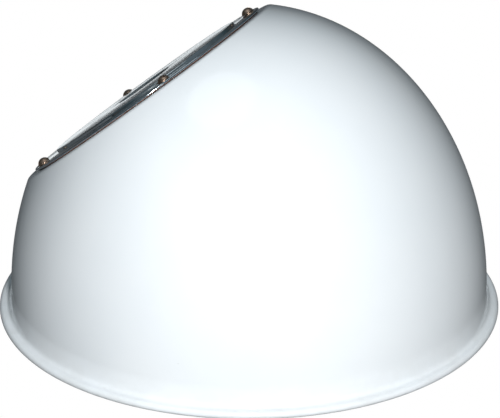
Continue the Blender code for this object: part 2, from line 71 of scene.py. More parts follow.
CENTRE = slope_centre()
SLOPE = Matrix(
    (
        (D_AXIS.x, H_AXIS.x, N_AXIS.x, CENTRE.x),
        (D_AXIS.y, H_AXIS.y, N_AXIS.y, CENTRE.y),
        (D_AXIS.z, H_AXIS.z, N_AXIS.z, CENTRE.z),
        (0.0, 0.0, 0.0, 1.0),
    )
)
WORLD = Matrix.Identity(4)
SCREW_PLACES = [
    (SCREW_RING * math.cos(math.radians(a)), SCREW_RING * math.sin(math.radians(a)))
    for a in SCREW_ANGLES
]


# =============================== materials ========================================
def new_material(name):
    made = bpy.data.materials.new(name)
    made.use_nodes = True
    tree = made.node_tree
    return made, tree, tree.nodes["Principled BSDF"]


def node(tree, kind, **settings):
    made = tree.nodes.new(kind)
    for key, value in settings.items():
        if key in made.inputs:
            made.inputs[key].default_value = value
        else:
            setattr(made, key, value)
    return made


def noise(tree, vector, scale, detail=3.0, rough=0.5, distortion=0.0):
    made = tree.nodes.new("ShaderNodeTexNoise")
    made.inputs["Scale"].default_value = scale
    made.inputs["Detail"].default_value = detail
    made.inputs["Roughness"].default_value = rough
    made.inputs["Distortion"].default_value = distortion
    tree.links.new(vector, made.inputs["Vector"])
    return made.outputs["Fac"]


def ramp(tree, fac, stops):
    made = tree.nodes.new("ShaderNodeValToRGB")
    elements = made.color_ramp.elements
    while len(elements) < len(stops):
        elements.new(0.5)
    for element, (place, colour) in zip(elements, stops):
        element.position = place
        element.color = (*colour, 1.0) if len(colour) == 3 else colour
    tree.links.new(fac, made.inputs["Fac"])
    return made.outputs["Color"]


def remap(tree, value, a, b, c, d, clamp=True):
    made = tree.nodes.new("ShaderNodeMapRange")
    made.clamp = clamp
    for key, x in zip(("From Min", "From Max", "To Min", "To Max"), (a, b, c, d)):
        made.inputs[key].default_value = x
    tree.links.new(value, made.inputs["Value"])
    return made.outputs["Result"]


def maths(tree, op, a, b=None):
    made = tree.nodes.new("ShaderNodeMath")
    made.operation = op
    for i, x in enumerate((a, b)):
        if x is None:
            continue
        if isinstance(x, (int, float)):
            made.inputs[i].default_value = x
        else:
            tree.links.new(x, made.inputs[i])
    return made.outputs[0]


def mix(tree, fac, a, b):
    made = tree.nodes.new("ShaderNodeMix")
    made.data_type = "RGBA"
    for socket, x in ((made.inputs["Factor"], fac), (made.inputs["A"], a), (made.inputs["B"], b)):
        if isinstance(x, tuple):
            socket.default_value = (*x, 1.0)
        elif isinstance(x, (int, float)):
            socket.default_value = x
        else:
            tree.links.new(x, socket)
    return made.outputs["Result"]


def bumps(tree, shader, layers):
    """Layers of (height socket, strength, distance in mm), stacked."""
    last = None
    for height, strength, distance in layers:
        made = tree.nodes.new("ShaderNodeBump")
        made.inputs["Strength"].default_value = strength
        made.inputs["Distance"].default_value = distance * MM
        tree.links.new(height, made.inputs["Height"])
        if last is not None:
            tree.links.new(last, made.inputs["Normal"])
        last = made.outputs["Normal"]
    tree.links.new(last, shader.inputs["Normal"])


def coords(tree, matrix=None):
    """Object coordinates in metres; with a matrix, turned into that frame first."""
    where = tree.nodes.new("ShaderNodeTexCoord").outputs["Object"]
    if matrix is None:
        return where
    inverse = matrix.inverted()
    mapping = tree.nodes.new("ShaderNodeMapping")
    mapping.vector_type = "POINT"
    mapping.inputs["Location"].default_value = inverse.translation * MM
    mapping.inputs["Rotation"].default_value = inverse.to_euler()
    tree.links.new(where, mapping.inputs["Vector"])
    return mapping.outputs["Vector"]


def split(tree, vector):
    made = tree.nodes.new("ShaderNodeSeparateXYZ")
    tree.links.new(vector, made.inputs[0])
    return made.outputs


def radial(tree, vector):
    x, y, _ = split(tree, vector)
    return maths(tree, "SQRT", maths(tree, "ADD", maths(tree, "MULTIPLY", x, x), maths(tree, "MULTIPLY", y, y)))


def enamel_material():
    made, tree, shader = new_material("white_enamel")
    here = coords(tree)
    _, _, z = split(tree, here)
    tone = noise(tree, here, 9.0, 4.0, 0.55)
    base = ramp(tree, tone, [(0.30, (0.800, 0.846, 0.878)), (0.70, (0.838, 0.877, 0.903))])
    # faint grey patches, darker towards the bottom: strongest at the foot of the wall and fading out 30 mm up, over the
    # roll and the cove above it; the grey patches are also a little rougher
    foot_grey = maths(
        tree,
        "MULTIPLY",
        remap(tree, z, 0.0, 0.030, 1.0, 0.0),
        remap(tree, noise(tree, here, 34.0, 5.0, 0.6), 0.42, 0.75, 0.0, 0.30),
    )
    base = mix(tree, foot_grey, base, (0.50, 0.50, 0.47))
    # pinholes and specks in the glaze
    cells = tree.nodes.new("ShaderNodeTexVoronoi")
    cells.inputs["Scale"].default_value = 62.0
    tree.links.new(here, cells.inputs["Vector"])
    speck = maths(
        tree,
        "MULTIPLY",
        remap(tree, cells.outputs["Distance"], 0.022, 0.034, 1.0, 0.0),
        remap(tree, noise(tree, here, 21.0, 2.0), 0.60, 0.63, 0.0, 1.0),
    )
    base = mix(tree, maths(tree, "MULTIPLY", speck, 0.55), base, (0.30, 0.29, 0.28))
    # small chips on the roll's crown, where the dark ground coat shows
    chip_field = noise(tree, here, 115.0, 2.0, 0.4)
    band = maths(tree, "MULTIPLY", remap(tree, z, 0.0010, 0.0016, 0.0, 1.0), remap(tree, z, 0.0052, 0.0064, 1.0, 0.0))
    chip = maths(tree, "MULTIPLY", remap(tree, chip_field, 0.840, 0.855, 0.0, 1.0), band)
    base = mix(tree, chip, base, (0.055, 0.06, 0.085))
    tree.links.new(base, shader.inputs["Base Color"])
    gloss = remap(tree, noise(tree, here, 26.0, 4.0, 0.6), 0.3, 0.8, 0.11, 0.19)
    gloss = maths(tree, "ADD", gloss, maths(tree, "MULTIPLY", foot_grey, 0.6))
    tree.links.new(maths(tree, "ADD", gloss, maths(tree, "MULTIPLY", chip, 0.35)), shader.inputs["Roughness"])
    shader.inputs["IOR"].default_value = 1.52
    shader.inputs["Coat Weight"].default_value = 0.35
    shader.inputs["Coat Roughness"].default_value = 0.05
    bumps(
        tree,
        shader,
        [
            (noise(tree, here, 11.0, 2.0, 0.4), 0.22, 2.2),  # waviness of the spun sheet
            (noise(tree, here, 240.0, 2.0, 0.5), 0.16, 0.10),  # orange peel of the fired glaze
            (maths(tree, "ADD", maths(tree, "MULTIPLY", speck, -0.5), maths(tree, "MULTIPLY", chip, -1.0)), 0.7, 0.25),
        ],
    )
    return made


def plated_material(name, colour, rough_low, rough_high, matrix, spin=True, tarnish=(0.30, 0.27, 0.22)):
    made, tree, shader = new_material(name)
    here = coords(tree, matrix)
    patches = noise(tree, here, 38.0, 5.0, 0.62)
    dull = remap(tree, patches, 0.52, 0.78, 0.0, 0.55)
    base = mix(tree, dull, colour, tarnish)
    tree.links.new(base, shader.inputs["Base Color"])
    shader.inputs["Metallic"].default_value = 1.0
    tree.links.new(remap(tree, noise(tree, here, 85.0, 4.0), 0.3, 0.75, rough_low, rough_high), shader.inputs["Roughness"])
    layers = [(noise(tree, here, 60.0, 3.0), 0.18, 0.25)]
    if spin:
        rings = tree.nodes.new("ShaderNodeTexNoise")
        rings.noise_dimensions = "1D"
        rings.inputs["Scale"].default_value = 900.0
        rings.inputs["Detail"].default_value = 3.0
        tree.links.new(radial(tree, here), rings.inputs["W"])
        layers.append((rings.outputs["Fac"], 0.16, 0.06))
    bumps(tree, shader, layers)
    return made


def metal_material(name, colour, dark, rough, scale=120.0, bump=0.12, spread=0.10, matrix=None):
    made, tree, shader = new_material(name)
    here = coords(tree, matrix)
    patches = noise(tree, here, scale, 5.0, 0.6)
    tree.links.new(mix(tree, remap(tree, patches, 0.45, 0.80, 0.0, 0.85), colour, dark), shader.inputs["Base Color"])
    shader.inputs["Metallic"].default_value = 1.0
    tree.links.new(remap(tree, noise(tree, here, scale * 2.3, 4.0), 0.3, 0.8, rough, rough + spread), shader.inputs["Roughness"])
    bumps(tree, shader, [(noise(tree, here, scale * 5.0, 3.0), bump, 0.08)])
    return made


def fibre_material():
    made, tree, shader = new_material("brown_fibre")
    here = coords(tree)
    strands = node(tree, "ShaderNodeMapping")
    strands.inputs["Scale"].default_value = (1.0, 3.5, 1.0)
    tree.links.new(here, strands.inputs["Vector"])
    fibre = noise(tree, strands.outputs["Vector"], 420.0, 6.0, 0.7, 0.6)
    tree.links.new(ramp(tree, fibre, [(0.30, (0.105, 0.045, 0.030)), (0.55, (0.205, 0.095, 0.062)), (0.80, (0.33, 0.17, 0.11))]), shader.inputs["Base Color"])
    shader.inputs["Roughness"].default_value = 0.88
    bumps(tree, shader, [(fibre, 0.6, 0.25)])
    return made


def porcelain_material():
    made, tree, shader = new_material("porcelain")
    here = coords(tree)
    tone = noise(tree, here, 40.0, 4.0)
    base = ramp(tree, tone, [(0.3, (0.78, 0.755, 0.69)), (0.7, (0.86, 0.845, 0.79))])
    grime = remap(tree, noise(tree, here, 95.0, 5.0, 0.65), 0.58, 0.80, 0.0, 0.35)
    tree.links.new(mix(tree, grime, base, (0.42, 0.36, 0.28)), shader.inputs["Base Color"])
    shader.inputs["Roughness"].default_value = 0.2
    shader.inputs["Coat Weight"].default_value = 0.6
    shader.inputs["Coat Roughness"].default_value = 0.06
    bumps(tree, shader, [(noise(tree, here, 130.0, 2.0), 0.2, 0.3)])
    return made


def glass_material(name, colour, transmission, rough=0.04):
    made, tree, shader = new_material(name)
    here = coords(tree)
    tone = noise(tree, here, 28.0, 3.0)
    dark = tuple(c * 0.72 for c in colour)
    tree.links.new(ramp(tree, tone, [(0.3, dark), (0.7, colour)]), shader.inputs["Base Color"])
    shader.inputs["Transmission Weight"].default_value = transmission
    shader.inputs["IOR"].default_value = 1.47
    tree.links.new(remap(tree, noise(tree, here, 75.0, 3.0), 0.3, 0.8, rough, rough + 0.05), shader.inputs["Roughness"])
    bumps(tree, shader, [(noise(tree, here, 22.0, 2.0), 0.12, 1.0)])
    return made


def plain_gloss(name, colour, rough, scale):
    made, tree, shader = new_material(name)
    here = coords(tree)
    tree.links.new(ramp(tree, noise(tree, here, scale, 4.0), [(0.3, tuple(c * 0.6 for c in colour)), (0.75, colour)]), shader.inputs["Base Color"])
    shader.inputs["Roughness"].default_value = rough
    bumps(tree, shader, [(noise(tree, here, scale * 3.0, 3.0), 0.2, 0.1)])
    return made


ENAMEL = enamel_material()
PLATED = plated_material("bright_plating", (0.62, 0.68, 0.72), 0.045, 0.12, SLOPE)
BRASS = metal_material("aged_brass", (0.50, 0.36, 0.27), (0.17, 0.105, 0.075), 0.30, 190.0, 0.3, 0.18)
ZINC = metal_material("zinc_steel", (0.60, 0.61, 0.60), (0.36, 0.35, 0.30), 0.26, 150.0)
FIBRE = fibre_material()
PORCELAIN = porcelain_material()
SHELL = metal_material("shell_brass", (0.80, 0.62, 0.33), (0.42, 0.28, 0.14), 0.22, 130.0)
CAP = metal_material("cap_metal", (0.77, 0.78, 0.79), (0.50, 0.50, 0.50), 0.24, 120.0)
SILVER = metal_material("silvered_glass", (0.80, 0.80, 0.80), (0.66, 0.66, 0.67), 0.07, 30.0, 0.05, 0.05)
SOLDER = metal_material("solder", (0.55, 0.55, 0.57), (0.33, 0.33, 0.35), 0.38, 260.0, 0.6)
BLACK = plain_gloss("black_glass", (0.030, 0.030, 0.034), 0.12, 160.0)
RUBY = glass_material("ruby_glass", (0.50, 0.030, 0.018), 0.55, 0.05)
CLEAR = glass_material("clear_glass", (0.86, 0.89, 0.89), 0.92)
TUNGSTEN = metal_material("tungsten", (0.22, 0.22, 0.24), (0.10, 0.10, 0.11), 0.4, 600.0)
GUARD = plated_material("guard_plating", (0.70, 0.71, 0.72), 0.12, 0.24, None, False, (0.42, 0.38, 0.32))


# =============================== mesh helpers ======================================
def to_object(name, verts, faces, look, matrix=WORLD, smooth=True, angle=34.0):
    """Makes an object from vertices in mm in the frame `matrix`."""
    co = np.asarray(verts, dtype=np.float64)
    m = np.array(matrix)
    co = (co @ m[:3, :3].T + m[:3, 3]) * MM
    mesh = bpy.data.meshes.new(name)
    mesh.from_pydata(co.tolist(), [], faces)
    mesh.update()
    bm = bmesh.new()
    bm.from_mesh(mesh)
    bmesh.ops.remove_doubles(bm, verts=bm.verts, dist=1e-7)
    bmesh.ops.recalc_face_normals(bm, faces=bm.faces)
    bm.to_mesh(mesh)
    bm.free()
    if smooth:
        mesh.shade_smooth()
        mesh.set_sharp_from_angle(angle=math.radians(angle))
    obj = bpy.data.objects.new(name, mesh)
    bpy.context.scene.collection.objects.link(obj)
    if look is not None:
        mesh.materials.append(look)
    return obj


def grid_faces(rows, cols, wrap_rows=False, wrap_cols=True):
    faces = []
    for i in range(rows if wrap_rows else rows - 1):
        j2 = (i + 1) % rows
        for j in range(cols if wrap_cols else cols - 1):
            k = (j + 1) % cols
            faces.append((i * cols + j, i * cols + k, j2 * cols + k, j2 * cols + j))
    return faces


def turned(name, profile, look, matrix=SLOPE, cols=96, place=(0.0, 0.0), angle=34.0, radius=None):
    """Turned body. The profile runs from axis to axis, or is a closed ring.
    radius(theta, r, z) may change the radius, for threads and knurls."""
    prof = np.array(profile, dtype=float)
    closed = not (prof[0, 0] < 1e-9 and prof[-1, 0] < 1e-9)
    theta = 2 * math.pi * np.arange(cols) / cols
    r = np.repeat(prof[:, 0][:, None], cols, 1)
    z = np.repeat(prof[:, 1][:, None], cols, 1)
    if radius is not None:
        r = radius(theta[None, :], r, z)
    verts = np.stack([place[0] + r * np.cos(theta), place[1] + r * np.sin(theta), z], -1).reshape(-1, 3)
    return to_object(name, verts, grid_faces(len(prof), cols, closed), look, matrix, True, angle)


def rounded(points, radius=0.3, steps=3, closed=True):
    """Rounds the corners of a profile of (r, z) points."""
    pts = [np.array(p[:2], float) for p in points]
    radii = [p[2] if len(p) > 2 else radius for p in points]
    out = []
    n = len(pts)
    for i in range(n):
        if not closed and i in (0, n - 1):
            out.append(tuple(pts[i]))
            continue
        a, b, c = pts[i - 1], pts[i], pts[(i + 1) % n]
        u, v = a - b, c - b
        lu, lv = np.linalg.norm(u), np.linalg.norm(v)
        u, v = u / lu, v / lv
        cosine = float(np.clip(u @ v, -1, 1))
        half = math.acos(cosine) / 2
        if radii[i] <= 0 or half > math.radians(86) or half < math.radians(3):
            out.append(tuple(b))
            continue
        back = min(radii[i] / math.tan(half), 0.45 * lu, 0.45 * lv)
        rad = back * math.tan(half)
        centre = b + (u + v) / np.linalg.norm(u + v) * (rad / math.sin(half))
        p0, p1 = b + u * back, b + v * back
        a0 = math.atan2(*(p0 - centre)[::-1])
        a1 = math.atan2(*(p1 - centre)[::-1])
        turn = (a1 - a0 + math.pi) % (2 * math.pi) - math.pi
        for k in range(steps + 1):
            angle = a0 + turn * k / steps
            out.append((centre[0] + rad * math.cos(angle), centre[1] + rad * math.sin(angle)))
    return out


def dense(points, most):
    """Adds points so that no profile step along the axis is longer than most."""
    out = [points[0]]
    for a, b in zip(points, points[1:]):
        count = max(1, math.ceil(math.dist(a, b) / most))
        for k in range(1, count + 1):
            out.append((a[0] + (b[0] - a[0]) * k / count, a[1] + (b[1] - a[1]) * k / count))
    return out


def tube(name, points, radius, look, matrix=WORLD, sides=16, closed=False, taper=None):
    """A round wire along points, with rounded ends when it is open."""
    pts = [Vector(p) for p in points]
    n = len(pts)
    rings = []
    tangents = []
    for i in range(n):
        if closed:
            t = pts[(i + 1) % n] - pts[i - 1]
        else:
            t = pts[min(i + 1, n - 1)] - pts[max(i - 1, 0)]
        tangents.append(t.normalized())
    ref = Vector((0, 0, 1)) if abs(tangents[0].z) < 0.9 else Vector((1, 0, 0))
    normal = (ref - tangents[0] * ref.dot(tangents[0])).normalized()
    normals = []
    for i in range(n):
        normal = (normal - tangents[i] * normal.dot(tangents[i])).normalized()
        normals.append(normal.copy())
    if closed:
        normals = [(ref - t * ref.dot(t)).normalized() for t in tangents]

    def ring(centre, tangent, normal, r):
        side = tangent.cross(normal)
        return [centre + (normal * math.cos(a) + side * math.sin(a)) * r for a in (2 * math.pi * k / sides for k in range(sides))]

    def size(i):
        return radius * (taper(i / (n - 1)) if taper else 1.0)

    if not closed:
        for k in (3, 2, 1):
            a = math.pi / 2 * k / 3.5
            rings.append(ring(pts[0] - tangents[0] * (size(0) * 0.55 * math.sin(a)), tangents[0], normals[0], size(0) * math.cos(a)))
    for i in range(n):
        rings.append(ring(pts[i], tangents[i], normals[i], size(i)))
    if not closed:
        for k in (1, 2, 3):
            a = math.pi / 2 * k / 3.5
            rings.append(ring(pts[-1] + tangents[-1] * (size(n - 1) * 0.55 * math.sin(a)), tangents[-1], normals[-1], size(n - 1) * math.cos(a)))
    verts = [tuple(v) for r in rings for v in r]
    faces = grid_faces(len(rings), sides, closed)
    if not closed:
        faces.append(tuple(range(sides - 1, -1, -1)))
        last = (len(rings) - 1) * sides
        faces.append(tuple(last + k for k in range(sides)))
    return to_object(name, verts, faces, look, matrix, True, 50.0)


def prism(name, outline, low, high, look, matrix=WORLD, axis=2, bevel=0.25, segments=3, smooth=True):
    """A closed outline across `axis`, extruded and given softened edges."""
    order = {0: (1, 2), 1: (0, 2), 2: (0, 1)}[axis]
    n = len(outline)
    verts = []
    for level in (low, high):
        for a, b in outline:
            co = [0.0, 0.0, 0.0]
            co[axis] = level
            co[order[0]], co[order[1]] = a, b
            verts.append(tuple(co))
    faces = [tuple(range(n)), tuple(range(2 * n - 1, n - 1, -1))]
    faces += [(i, (i + 1) % n, n + (i + 1) % n, n + i) for i in range(n)]
    obj = to_object(name, verts, faces, look, matrix, smooth, 34.0)
    if bevel:
        edge = obj.modifiers.new("Soften", "BEVEL")
        edge.width = bevel * MM
        edge.segments = segments
        edge.limit_method = "ANGLE"
        edge.angle_limit = math.radians(35.0)
    return obj


def apply_modifiers(obj):
    graph = bpy.context.evaluated_depsgraph_get()
    graph.update()
    made = bpy.data.meshes.new_from_object(obj.evaluated_get(graph))
    old = obj.data
    obj.modifiers.clear()
    obj.data = made
    bpy.data.meshes.remove(old)
    return obj


def carve(obj, tools, operation="DIFFERENCE"):
    """Applies Booleans with throwaway tools."""
    if obj.modifiers:
        apply_modifiers(obj)
    for tool in tools:
        modifier = obj.modifiers.new("Cut", "BOOLEAN")
        modifier.operation = operation
        modifier.solver = "EXACT"
        modifier.object = tool
    apply_modifiers(obj)
    for tool in tools:
        data = tool.data
        bpy.data.objects.remove(tool, do_unlink=True)
        bpy.data.meshes.remove(data)
    return obj


def soften(obj, width=0.2, segments=2, angle=35.0, shade=34.0):
    edge = obj.modifiers.new("Soften", "BEVEL")
    edge.width = width * MM
    edge.segments = segments
    edge.limit_method = "ANGLE"
    edge.angle_limit = math.radians(angle)
    edge.harden_normals = False
    apply_modifiers(obj)
    obj.data.shade_smooth()
    obj.data.set_sharp_from_angle(angle=math.radians(shade))
    return obj


def rod_tool(start, end, radius, matrix=WORLD, sides=48):
    start, end = Vector(start), Vector(end)
    bm = bmesh.new()
    bmesh.ops.create_cone(bm, cap_ends=True, segments=sides, radius1=radius, radius2=radius, depth=(end - start).length)
    aim = (end - start).to_track_quat("Z", "Y").to_matrix().to_4x4()
    bmesh.ops.transform(bm, matrix=Matrix.Translation((start + end) * 0.5) @ aim, verts=bm.verts)
    bmesh.ops.transform(bm, matrix=Matrix.Scale(MM, 4) @ matrix, verts=bm.verts)
    mesh = bpy.data.meshes.new("tool")
    bm.to_mesh(mesh)
    bm.free()
    obj = bpy.data.objects.new("tool", mesh)
    bpy.context.scene.collection.objects.link(obj)
    return obj


def settle(obj, body, node_name):
    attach(obj, body)
    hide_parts(node_name)
    return obj


# =============================== the hood ==========================================
COLS = 288


def cut_grid(inset, cols):
    """For each column: the point where the flat's line meets the dome (in the
    dome's unit-sphere space), and how far round the sphere its base lies."""
    r, h = DOME_R - inset, DOME_H - inset
    k = np.array([N_AXIS.x * r, 0.0, N_AXIS.z * h])
    length = np.linalg.norm(k)
    pole = k / length
    off = (CUT_OFFSET - inset - N_AXIS.z * DOME_Z) / length
    alpha = math.acos(off)
    up = np.array([0.0, 0.0, 1.0])
    e1 = up - pole * (up @ pole)
    e1 /= np.linalg.norm(e1)
    e2 = np.cross(pole, e1)
    if e2[1] < 0:
        e2 = -e2
    psi = 2 * math.pi * np.arange(cols) / cols
    heading = np.cos(psi)[:, None] * e1 + np.sin(psi)[:, None] * e2
    # the great circle pole*cos(t) + heading*sin(t) reaches the base where z = 0
    reach = np.arctan2(pole[2], -heading[:, 2])
    scale = np.array([r, r, h])
    base = np.array([0.0, 0.0, DOME_Z])

    def at(t):
        return base + (np.cos(t)[..., None] * pole + np.sin(t)[..., None] * heading) * scale

    return psi, alpha, reach, at, pole, off, scale


def hood_rows(inset, cols, edge_soft, dome_rows, flat_rows, opening_r):
    """Rows of points from the opening's edge over the flat and down the dome to
    the ring where the dome ends."""
    psi, alpha, reach, at, pole, off, scale = cut_grid(inset, cols)
    centre = np.array([0.0, 0.0, DOME_Z]) + pole * off * scale
    d, hh = np.array(D_AXIS), np.array(H_AXIS)
    start = centre + opening_r * (np.cos(psi)[:, None] * d + np.sin(psi)[:, None] * hh)
    corner = at(np.full(cols, alpha))
    inward = corner - start
    span = np.linalg.norm(inward, axis=1)
    inward /= span[:, None]
    rows = []
    for i in range(flat_rows):
        s = i / flat_rows
        rows.append(start + inward * ((span - edge_soft) * s)[:, None])
    # the rounded edge: a quadratic curve from the flat to the dome
    reach_mm = np.linalg.norm(at(np.full(cols, alpha + 0.01)) - corner, axis=1) / 0.01
    step = edge_soft / reach_mm
    a = corner - inward * edge_soft
    b = at(alpha + step)
    for i in range(11):
        u = i / 10
        rows.append((1 - u) ** 2 * a + 2 * u * (1 - u) * corner + u * u * b)
    for i in range(1, dome_rows + 1):
        u = i / dome_rows
        rows.append(at(alpha + step + (reach - alpha - step) * u))
    return rows


def ring_rows(profile, directions):
    """Rows of a turned profile, at each column's own direction round the axis."""
    return [np.concatenate([directions * r, np.full((len(directions), 1), z)], 1) for r, z in profile]


def hood_mesh():
    outer = hood_rows(0.0, COLS, 3.0, 72, 8, OPENING_R + 0.5)
    inner = hood_rows(WALL, COLS, 2.5, 48, 6, OPENING_R + 0.5)
    ends = outer[-1][:, :2]
    directions = ends / np.linalg.norm(ends, axis=1)[:, None]
    bead_r, bead_z = RIM_R - BEAD_R, BEAD_R
    wall = [(DOME_R + 0.4, 20.0), (DOME_R + 0.75, 17.0), (NECK_R - 0.35, 14.0), (NECK_R - 0.02, 11.6)]
    cove = [(NECK_R + 0.18, 10.0), (NECK_R + 0.55, 8.7), (NECK_R + 1.15, 7.7), (NECK_R + 2.0, 7.05), (NECK_R + 2.9, 6.75)]
    bead = []
    for i in range(19):
        angle = math.radians(84.0 - 236.0 * i / 18)
        z = bead_z + BEAD_R * math.sin(angle)
        bead.append((bead_r + BEAD_R * math.cos(angle), max(0.0, z)))
    # the sheet's edge is tucked under the roll and leaves a fine groove inside
    tuck = [(193.72, 1.95), (194.35, 2.75), (194.10, 3.10), (193.30, 3.15), (192.75, 3.75)]
    back = [(192.0, 4.9), (191.25, 6.2), (NECK_R - WALL + 0.45, 7.8), (NECK_R - WALL + 0.1, 9.4), (NECK_R - WALL, 11.4), (NECK_R - WALL - 0.35, 14.0), (DOME_R - WALL + 0.4, 20.0)]
    rim = ring_rows(wall + cove + bead + tuck + back, directions)
    # the opening's edge, turned over slightly
    lip = []
    n = np.array(N_AXIS)
    for i in range(1, 6):
        angle = math.pi * i / 6
        middle = 0.5 * (outer[0] + inner[0])
        half = 0.5 * np.linalg.norm((outer[0] - inner[0]), axis=1)[:, None]
        towards = np.array([CENTRE.x, CENTRE.y, CENTRE.z]) - middle
        towards -= n * (towards @ n)[:, None]
        towards /= np.linalg.norm(towards, axis=1)[:, None]
        lip.append(middle - n * half * math.cos(angle) + towards * 0.5 * math.sin(angle))
    rows = outer + rim + inner[::-1] + lip
    verts = np.concatenate(rows)
    return to_object("hood_shell_enamelled", verts, grid_faces(len(rows), COLS, True), ENAMEL, WORLD, True, 40.0)


hood = hood_mesh()
carve(hood, [rod_tool((x, y, -8), (x, y, 8), 2.8, SLOPE, 32) for x, y in SCREW_PLACES])
hood.data.shade_smooth()
hood.data.set_sharp_from_angle(angle=math.radians(40.0))
settle(hood, "root", "hood_shell")

# =============================== gasket and pan ====================================
gasket_low, gasket_high = GAP, GAP + GASKET_T
gasket = turned(
    "gasket_ring",
    rounded([(FLANGE_R - 2.4, gasket_high), (FLANGE_R - 2.4, gasket_low), (OPENING_R + 2.0, gasket_low), (OPENING_R + 2.0, gasket_high)], 0.25),
    FIBRE,
    cols=160,
)
carve(gasket, [rod_tool((x, y, -8), (x, y, 8), 2.8, SLOPE, 24) for x, y in SCREW_PLACES])
settle(gasket, "root", "fibre_gasket")

flange_low = gasket_high + GAP
flange_high = flange_low + SHEET
pan_top = flange_high + RAISE
recess_top = pan_top - RECESS_D
CROWN = 0.5  # the raised top is a little fuller in the middle than at its edge


def crowned(r):
    return pan_top - CROWN * max(0.0, (r - 40.0) / (PAN_R - 40.0)) ** 1.6


# the flange's edge is turned down and rounded, and hides the gasket
pan_outline = [
    (FLANGE_R, 0.8, 0.75),
    (FLANGE_R, flange_high, 0.9),
    (PAN_R + 0.09, flange_high, 0.4),
    (PAN_R, crowned(PAN_R), 1.05),
    *[(r, crowned(r), 0.0) for r in (84.0, 80.0, 75.0, 70.0, 65.0, 60.0, 54.0, 47.0, 40.0)],
    (RECESS_R + 2.4, pan_top, 1.3),
    (RECESS_R + 0.4, recess_top, 0.9),
    (6.4, recess_top, 0.3),
    (6.4, recess_top - SHEET, 0.3),
    (RECESS_R + 1.6, recess_top - SHEET, 1.3),
    (RECESS_R + 3.6, pan_top - SHEET, 0.9),
    *[(r, crowned(r) - SHEET, 0.0) for r in (40.0, 54.0, 65.0, 75.0)],
    (PAN_R - SHEET, crowned(PAN_R) - SHEET, 0.7),
    (PAN_R - SHEET, flange_low, 0.3),
    (FLANGE_R - 1.9, flange_low, 0.3),
    (FLANGE_R - 1.9, 0.8, 0.1),
]
pan_profile = rounded(pan_outline, 0.4, 8)
pan = turned("cover_pan_plated", pan_profile, PLATED, cols=256, angle=40.0)
carve(pan, [rod_tool((x, y, -12), (x, y, 12), 2.8, SLOPE, 24) for x, y in SCREW_PLACES])
pan.data.shade_smooth()
pan.data.set_sharp_from_angle(angle=math.radians(40.0))
settle(pan, "root", "cover_pan")


# =============================== screws and nuts ===================================
def thread(pitch, depth, low, high, hand=1.0):
    """Radius change of a helical thread between two heights, faded at its ends."""

    def change(theta, r, z):
        phase = 2 * math.pi * (z / pitch) - hand * theta
        fade = np.clip((z - low) / (0.6 * pitch), 0, 1) * np.clip((high - z) / (0.6 * pitch), 0, 1)
        tri = 2 / math.pi * np.arcsin(np.sin(phase)) * 0.5 + 0.5
        return r - depth * (1 - tri) * fade

    return change


def round_head(name, node_name, place, under, head_r, head_h, shank_r, end, look, body="root", turn=0.0, pitch=0.8, matrix=SLOPE):
    swell = (head_r**2 + head_h**2) / (2 * head_h)
    lift = under + head_h - swell
    start = math.acos(min(1.0, head_r / swell))
    head = []
    for i in range(15):
        angle = math.pi / 2 + (start - math.pi / 2) * i / 14
        head.append((swell * math.cos(angle) if i else 0.0, lift + swell * math.sin(angle)))
    rim = [(head_r, under + 0.22), (head_r - 0.25, under)]
    shank = dense([(shank_r, under), (shank_r, end + 0.7)], pitch / 7)
    tip = [(shank_r - 0.7, end), (0.0, end)]
    screw = turned(name, head[:-1] + [(head_r - 0.02, under + 0.45)] + rim + shank + tip, look, matrix, 48, place, 40.0, thread(pitch, 0.42, end + 0.4, under - 1.2))
    slot_tool = prism("slot_tool", [(-head_r * 1.2, -0.55), (head_r * 1.2, -0.55), (head_r * 1.2, 0.55), (-head_r * 1.2, 0.55)], under + head_h * 0.5, under + head_h * 1.7, None, matrix @ Matrix.Translation((place[0], place[1], 0)) @ Matrix.Rotation(turn, 4, "Z"), bevel=0)
    carve(screw, [slot_tool])
    soften(screw, 0.09, 2, 40.0, 40.0)
    return settle(screw, body, node_name)


def hexnut(name, node_name, place, top, thick, across, hole_r, look, matrix=SLOPE, turn=0.0):
    corner = across / math.sqrt(3.0)
    where = matrix @ Matrix.Translation((place[0], place[1], 0)) @ Matrix.Rotation(turn, 4, "Z")
    outline = [(corner * math.cos(math.pi / 3 * k), corner * math.sin(math.pi / 3 * k)) for k in range(6)]
    nut = prism(name, outline, top - thick, top, look, where, bevel=0)
    flat_r = across / 2 * 0.95
    shape = [(0.0, top + 0.01), (flat_r, top + 0.01), (corner * 1.02, top - (corner * 1.02 - flat_r) * 0.55), (corner * 1.02, top - thick + (corner * 1.02 - flat_r) * 0.55), (flat_r, top - thick - 0.01), (0.0, top - thick - 0.01)]
    carve(nut, [turned("chamfer_tool", shape, None, where, 64)], "INTERSECT")
    bore = [(0.0, top + 0.5), (hole_r + 0.6, top + 0.5), (hole_r + 0.5, top + 0.01)] + dense([(hole_r, top - 0.5), (hole_r, top - thick + 0.5)], 0.35) + [(hole_r + 0.5, top - thick - 0.01), (hole_r + 0.6, top - thick - 0.5), (0.0, top - thick - 0.5)]
    carve(nut, [turned("bore_tool", bore, None, where, 32)])
    soften(nut, 0.1, 2, 30.0, 34.0)
    return settle(nut, "root", node_name)


washer_top = -WALL - GAP
nut_top = washer_top - 1.0 - GAP
TURNS = (0.35, 1.2, 0.8, -0.35)
for i, place in enumerate(SCREW_PLACES, 1):
    round_head(f"pan_screw_{i}_brass", f"pan_screw_{i}", place, flange_high + 0.15, 5.25, 4.5, 2.4, -11.0, BRASS, turn=TURNS[i - 1])
    washer = turned(f"pan_washer_{i}_steel", rounded([(5.0, washer_top), (5.0, washer_top - 1.0), (2.8, washer_top - 1.0), (2.8, washer_top)], 0.18), ZINC, place=place, cols=48)
    settle(washer, "root", f"pan_washer_{i}")
    hexnut(f"pan_nut_{i}_steel", f"pan_nut_{i}", place, nut_top, 4.0, 8.0, 2.8, ZINC, turn=0.3 * i)

